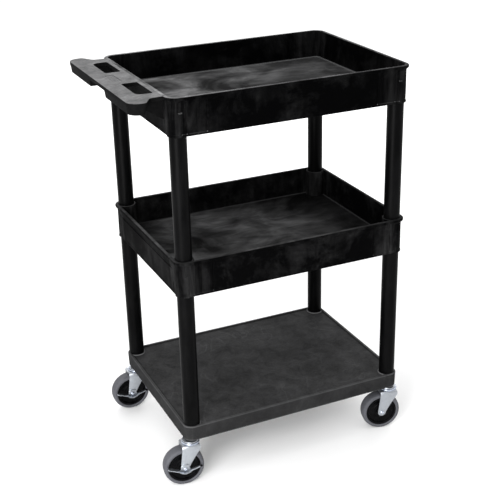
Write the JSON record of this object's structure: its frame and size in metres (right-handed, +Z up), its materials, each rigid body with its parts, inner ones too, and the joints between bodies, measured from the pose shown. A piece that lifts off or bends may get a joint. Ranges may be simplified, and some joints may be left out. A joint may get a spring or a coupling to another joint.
{
  "type": "rolling utility cart",
  "caption": "Utility cart with two tub shelves over a flat base shelf on tubular legs, a moulded push handle, and swivel casters with side brakes.",
  "frame": {"origin": "on the floor, under the middle of the bounding box", "axes": "+X from the push handle towards the front end, +Y to the left of the person pushing, +Z up"},
  "size_m": [0.7034, 0.46, 0.9845],
  "materials": {
    "black_structural_foam": "moulded polyethylene foam, mottled satin",
    "black_leg_tube": "extruded tube, satin",
    "bright_zinc": "bright zinc plate",
    "grey_rubber": "matte grey, non-marking",
    "black_hub_plastic": "smooth black",
    "blank_label": "blank, satin"
  },
  "bodies": {
    "cart": {"top_tub": "black_structural_foam", "handle_label_plate": "blank_label", "middle_tub": "black_structural_foam", "bottom_shelf": "black_structural_foam", "upper_leg_rear_right": "black_leg_tube", "lower_leg_rear_right": "black_leg_tube", "upper_race_rear_right": "bright_zinc", "stem_rear_right": "bright_zinc", "stem_socket_rear_right": "black_hub_plastic", "upper_leg_rear_left": "black_leg_tube", "lower_leg_rear_left": "black_leg_tube", "upper_race_rear_left": "bright_zinc", "stem_rear_left": "bright_zinc", "stem_socket_rear_left": "black_hub_plastic", "upper_leg_front_right": "black_leg_tube", "lower_leg_front_right": "black_leg_tube", "upper_race_front_right": "bright_zinc", "stem_front_right": "bright_zinc", "stem_socket_front_right": "black_hub_plastic", "upper_leg_front_left": "black_leg_tube", "lower_leg_front_left": "black_leg_tube", "upper_race_front_left": "bright_zinc", "stem_front_left": "bright_zinc", "stem_socket_front_left": "black_hub_plastic"},
    "swivel_rear_right": {"fork_rear_right": "bright_zinc", "swivel_bearing_rear_right": "bright_zinc", "axle_bolt_rear_right": "bright_zinc", "axle_nut_rear_right": "bright_zinc", "axle_sleeve_rear_right": "bright_zinc"},
    "wheel_rear_right": {"hub_rear_right": "black_hub_plastic", "tread_rear_right": "grey_rubber"},
    "brake_rear_right": {"brake_lever_rear_right": "bright_zinc", "brake_tip_rear_right": "black_hub_plastic"},
    "swivel_rear_left": {"fork_rear_left": "bright_zinc", "swivel_bearing_rear_left": "bright_zinc", "axle_bolt_rear_left": "bright_zinc", "axle_nut_rear_left": "bright_zinc", "axle_sleeve_rear_left": "bright_zinc"},
    "wheel_rear_left": {"hub_rear_left": "black_hub_plastic", "tread_rear_left": "grey_rubber"},
    "brake_rear_left": {"brake_lever_rear_left": "bright_zinc", "brake_tip_rear_left": "black_hub_plastic"},
    "swivel_front_right": {"fork_front_right": "bright_zinc", "swivel_bearing_front_right": "bright_zinc", "axle_bolt_front_right": "bright_zinc", "axle_nut_front_right": "bright_zinc", "axle_sleeve_front_right": "bright_zinc"},
    "wheel_front_right": {"hub_front_right": "black_hub_plastic", "tread_front_right": "grey_rubber"},
    "swivel_front_left": {"fork_front_left": "bright_zinc", "swivel_bearing_front_left": "bright_zinc", "axle_bolt_front_left": "bright_zinc", "axle_nut_front_left": "bright_zinc", "axle_sleeve_front_left": "bright_zinc"},
    "wheel_front_left": {"hub_front_left": "black_hub_plastic", "tread_front_left": "grey_rubber"}
  },
  "joints": [
    {"name": "swivel_rear_right", "type": "hinge", "parent": "cart", "child": "swivel_rear_right", "pos_m": [-0.244, -0.2001, 0.108], "axis": [0, 0, 1], "continuous": true},
    {"name": "roll_rear_right", "type": "hinge", "parent": "swivel_rear_right", "child": "wheel_rear_right", "pos_m": [-0.26425, -0.19689, 0.0508], "axis": [0.1564, 0.9877, 0], "continuous": true},
    {"name": "brake_rear_right", "type": "hinge", "parent": "swivel_rear_right", "child": "brake_rear_right", "pos_m": [-0.26425, -0.19689, 0.0508], "axis": [0.1564, 0.9877, 0], "range_deg": [-14, 0]},
    {"name": "swivel_rear_left", "type": "hinge", "parent": "cart", "child": "swivel_rear_left", "pos_m": [-0.244, 0.2001, 0.108], "axis": [0, 0, 1], "continuous": true},
    {"name": "roll_rear_left", "type": "hinge", "parent": "swivel_rear_left", "child": "wheel_rear_left", "pos_m": [-0.26449, 0.20081, 0.0508], "axis": [0.0349, 0.9994, 0], "continuous": true},
    {"name": "brake_rear_left", "type": "hinge", "parent": "swivel_rear_left", "child": "brake_rear_left", "pos_m": [-0.26449, 0.20081, 0.0508], "axis": [0.0349, 0.9994, 0], "range_deg": [-14, 0]},
    {"name": "swivel_front_right", "type": "hinge", "parent": "cart", "child": "swivel_front_right", "pos_m": [0.3206, -0.2001, 0.108], "axis": [0, 0, 1], "continuous": true},
    {"name": "roll_front_right", "type": "hinge", "parent": "swivel_front_right", "child": "wheel_front_right", "pos_m": [0.30062, -0.19549, 0.0508], "axis": [0.225, 0.9744, 0], "continuous": true},
    {"name": "swivel_front_left", "type": "hinge", "parent": "cart", "child": "swivel_front_left", "pos_m": [0.3206, 0.2001, 0.108], "axis": [0, 0, 1], "continuous": true},
    {"name": "roll_front_left", "type": "hinge", "parent": "swivel_front_left", "child": "wheel_front_left", "pos_m": [0.30025, 0.2026, 0.0508], "axis": [0.1219, 0.9925, 0], "continuous": true}
  ]
}
